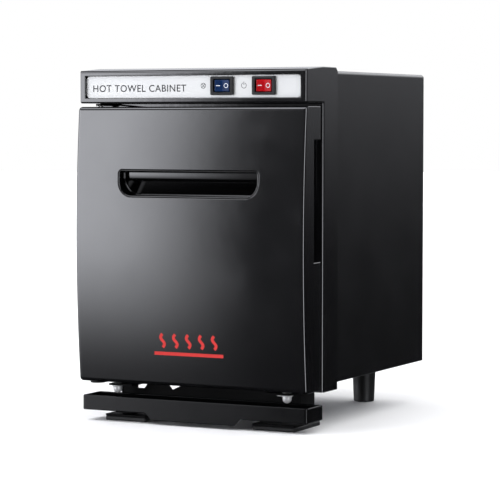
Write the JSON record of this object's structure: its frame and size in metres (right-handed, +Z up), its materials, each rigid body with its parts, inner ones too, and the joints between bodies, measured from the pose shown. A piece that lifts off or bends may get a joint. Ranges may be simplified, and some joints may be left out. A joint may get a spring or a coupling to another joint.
{
  "type": "hot towel cabinet",
  "caption": "Small bench-top hot towel cabinet: heated box with a side-hinged bowed door, control header with rocker switches, drip tray and feet.",
  "frame": {"origin": "on the bench under the middle of the object's box", "axes": "+Z up, front towards -Y, +X to the right seen from the front"},
  "size_m": [0.212, 0.264, 0.296],
  "materials": {
    "frame_black": "satin moulded black",
    "silver_plate": "fine matt silver",
    "plated_brass": "tinned",
    "switch_black": "smooth moulded black",
    "blue_rocker": "translucent blue",
    "red_rocker": "translucent red",
    "shell_paint": "satin black powder coat",
    "zinc_steel": "zinc plated",
    "gland_nylon": "moulded nylon",
    "foot_rubber": "matt black rubber",
    "liner_aluminium": "mill finish",
    "felt": "pressed felt",
    "heater_silicone": "silicone rubber",
    "thermostat_body": "phenolic",
    "rack_chrome": "bright plated wire",
    "lamp_glass": "clear tube",
    "white_plastic": "white moulding",
    "clear_guard": "clear moulding",
    "board_green": "solder mask",
    "component_black": "moulded",
    "door_gloss": "high gloss black",
    "door_cup": "gloss black",
    "door_panel": "fine grained dark grey",
    "foam": "closed cell foam",
    "gasket_rubber": "soft black seal",
    "hinge_paint": "black",
    "tray_plastic": "gloss black moulding",
    "bracket_paint": "black powder coat",
    "nut_chrome": "bright plated"
  },
  "bodies": {
    "cabinet": {"front_frame": "frame_black", "control_plate": "silver_plate", "switch_terminals": "plated_brass", "uv_switch_housing": "switch_black", "power_switch_housing": "switch_black", "outer_shell": "shell_paint", "bottom_pan": "shell_paint", "back_panel": "shell_paint", "back_panel_screws": "zinc_steel", "cord_gland": "gland_nylon", "rear_feet": "foot_rubber", "rear_foot_screws": "zinc_steel", "inner_liner": "liner_aluminium", "insulation_jacket": "felt", "heater_plate": "heater_silicone", "heater_clamp": "zinc_steel", "thermostat": "thermostat_body", "thermal_fuse": "zinc_steel", "rack_rails": "liner_aluminium", "uv_lamp": "lamp_glass", "lamp_holders": "white_plastic", "lamp_reflector": "liner_aluminium", "lamp_guard": "clear_guard", "ballast_board": "board_green", "ballast_components": "component_black", "terminal_block": "white_plastic", "hinge_pins": "zinc_steel", "hinge_washers": "white_plastic", "upper_hinge_plate": "hinge_paint", "lower_hinge_plate": "hinge_paint", "catch_magnet": "switch_black", "foot_bracket": "bracket_paint", "foot_pads": "foot_rubber", "bracket_cap_nuts": "nut_chrome", "bracket_studs": "zinc_steel"},
    "door": {"door_outer_shell": "door_gloss", "door_handle_cup": "door_cup", "door_inner_panel": "door_panel", "door_insulation": "foam", "door_gasket": "gasket_rubber", "hinge_bushes": "white_plastic", "strike_plate": "zinc_steel"},
    "uv_rocker": {"uv_rocker": "blue_rocker"},
    "power_rocker": {"power_rocker": "red_rocker"},
    "drip_tray": {"drip_tray": "tray_plastic"},
    "wire_rack": {"wire_rack": "rack_chrome"}
  },
  "joints": [
    {"name": "door_hinge", "type": "hinge", "parent": "cabinet", "child": "door", "pos_m": [-0.0965, -0.1065, 0.1495], "axis": [0, 0, -1], "range_deg": [0, 100]},
    {"name": "uv_rocker_turn", "type": "hinge", "parent": "cabinet", "child": "uv_rocker", "pos_m": [0.0286, -0.1206, 0.2807], "axis": [0, 0, -1], "range_deg": [0, 18]},
    {"name": "power_rocker_turn", "type": "hinge", "parent": "cabinet", "child": "power_rocker", "pos_m": [0.0664, -0.1206, 0.2807], "axis": [0, 0, -1], "range_deg": [0, 18]},
    {"name": "drip_tray_slide", "type": "slide", "parent": "cabinet", "child": "drip_tray", "axis": [0, -1, 0], "range_m": [0, 0.03]},
    {"name": "rack_slide", "type": "slide", "parent": "cabinet", "child": "wire_rack", "axis": [0, -1, 0], "range_m": [0, 0.015]}
  ]
}
